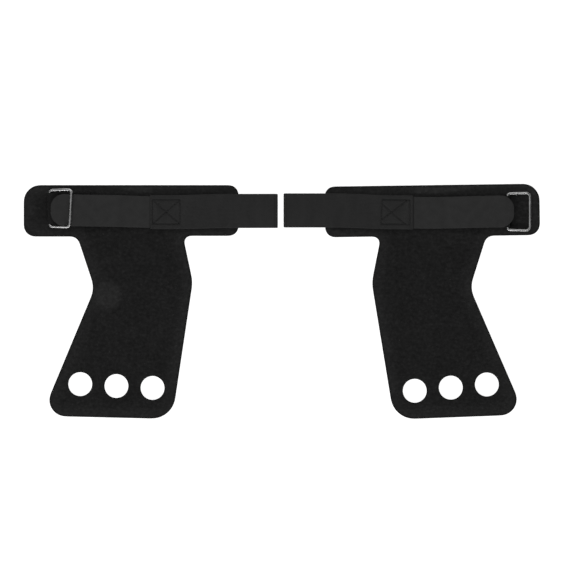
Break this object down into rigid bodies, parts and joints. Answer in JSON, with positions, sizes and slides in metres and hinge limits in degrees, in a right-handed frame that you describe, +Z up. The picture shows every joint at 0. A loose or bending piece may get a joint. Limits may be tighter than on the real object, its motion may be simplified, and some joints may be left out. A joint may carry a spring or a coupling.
{
  "type": "pair of palm hand grips",
  "caption": "Mirrored pair of flat microfibre palm grips with finger holes, each with a wrist cuff, elastic hook-tab strap and wire ring.",
  "frame": {"origin": "centre of the pair's footprint, on the surface that it lies on", "axes": "+X from the left grip to the right grip, +Y from the finger holes to the wrist cuffs, +Z up from the table"},
  "size_m": [0.4422, 0.2012, 0.0107],
  "materials": {
    "suede": "matt microfibre suede with a fine short nap",
    "elastic": "ribbed knitted elastic",
    "hook_tape": "close woven tape with moulded hooks below",
    "webbing": "plain woven webbing",
    "thread": "twisted polyester sewing thread",
    "ring_metal": "polished nickel-plated steel wire"
  },
  "bodies": {
    "left_wrist": {"left_cuff": "suede", "left_wrist_flex": "suede", "left_elastic_base": "elastic", "left_elastic_fold": "elastic", "left_elastic_leg": "elastic", "left_band_stitching": "thread", "left_ring_loop": "webbing", "left_loop_stitching": "thread"},
    "left_palm_flap": {"left_palm": "suede"},
    "left_ring_link": {"left_ring": "ring_metal"},
    "left_strap": {"left_elastic_end": "elastic", "left_hook_tab": "hook_tape", "left_box_stitching": "thread"},
    "right_wrist": {"right_cuff": "suede", "right_wrist_flex": "suede", "right_elastic_base": "elastic", "right_elastic_fold": "elastic", "right_band_stitching": "thread", "right_ring_loop": "webbing", "right_loop_stitching": "thread"},
    "right_palm_flap": {"right_palm": "suede"},
    "right_ring_link": {"right_ring": "ring_metal"},
    "right_strap": {"right_elastic_leg": "elastic", "right_elastic_end": "elastic", "right_hook_tab": "hook_tape", "right_box_stitching": "thread"}
  },
  "joints": [
    {"name": "left_palm_flex", "type": "hinge", "parent": "left_wrist", "child": "left_palm_flap", "pos_m": [-0.12808, 0.04824, 0.001], "axis": [-1, 0, 0], "range_deg": [0, 90], "deforming": ["left_wrist_flex"]},
    {"name": "left_ring_swivel", "type": "hinge", "parent": "left_wrist", "child": "left_ring_link", "pos_m": [-0.19858, 0.07944, 0.0042], "axis": [0, -1, 0], "range_deg": [0, 144]},
    {"name": "left_strap_draw", "type": "slide", "parent": "left_wrist", "child": "left_strap", "axis": [-1, 0, 0], "range_m": [0, 0.02], "stiffness_N_per_m": 300, "deforming": ["left_elastic_leg"]},
    {"name": "right_grip_slide", "type": "slide", "parent": "left_wrist", "child": "right_wrist", "axis": [1, 0, 0], "range_m": [0, 0.15]},
    {"name": "right_palm_flex", "type": "hinge", "parent": "right_wrist", "child": "right_palm_flap", "pos_m": [0.12833, 0.04824, 0.001], "axis": [-0.9999, -0.014, 0], "range_deg": [0, 90], "deforming": ["right_wrist_flex"]},
    {"name": "right_ring_swivel", "type": "hinge", "parent": "right_wrist", "child": "right_ring_link", "pos_m": [0.19322, 0.07674, 0.0042], "axis": [0, -1, 0], "range_deg": [0, 165]},
    {"name": "right_strap_open", "type": "hinge", "parent": "right_wrist", "child": "right_strap", "pos_m": [0.00412, 0.07724, 0.0034], "axis": [0, -1, 0], "range_deg": [0, 140], "deforming": ["right_elastic_fold"]}
  ]
}
